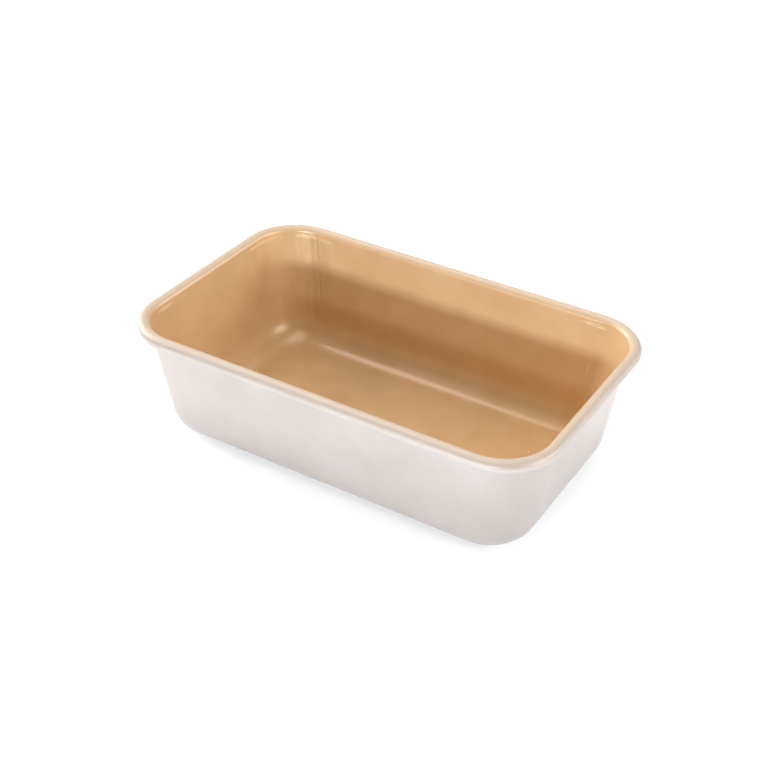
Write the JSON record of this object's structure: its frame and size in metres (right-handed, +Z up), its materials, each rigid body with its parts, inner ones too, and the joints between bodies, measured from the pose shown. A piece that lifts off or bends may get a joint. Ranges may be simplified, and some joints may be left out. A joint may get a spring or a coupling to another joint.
{
  "type": "loaf pan",
  "caption": "Rectangular baking pan with sloping walls, rounded corners and a rim rolled over a wire: bare aluminium outside, gold nonstick film inside and over the top of the rim.",
  "frame": {"origin": "centre of the flat underside, on the surface that the pan stands on", "axes": "+X along the pan's length, +Y across its width, +Z up out of its mouth"},
  "size_m": [0.2594, 0.1618, 0.074],
  "materials": {
    "bare_aluminium": "satin",
    "wire_steel": "satin",
    "gold_nonstick": "satin"
  },
  "bodies": {
    "root": {"pan_shell": "bare_aluminium", "rim_wire": "wire_steel", "nonstick_film": "gold_nonstick"}
  },
  "joints": []
}
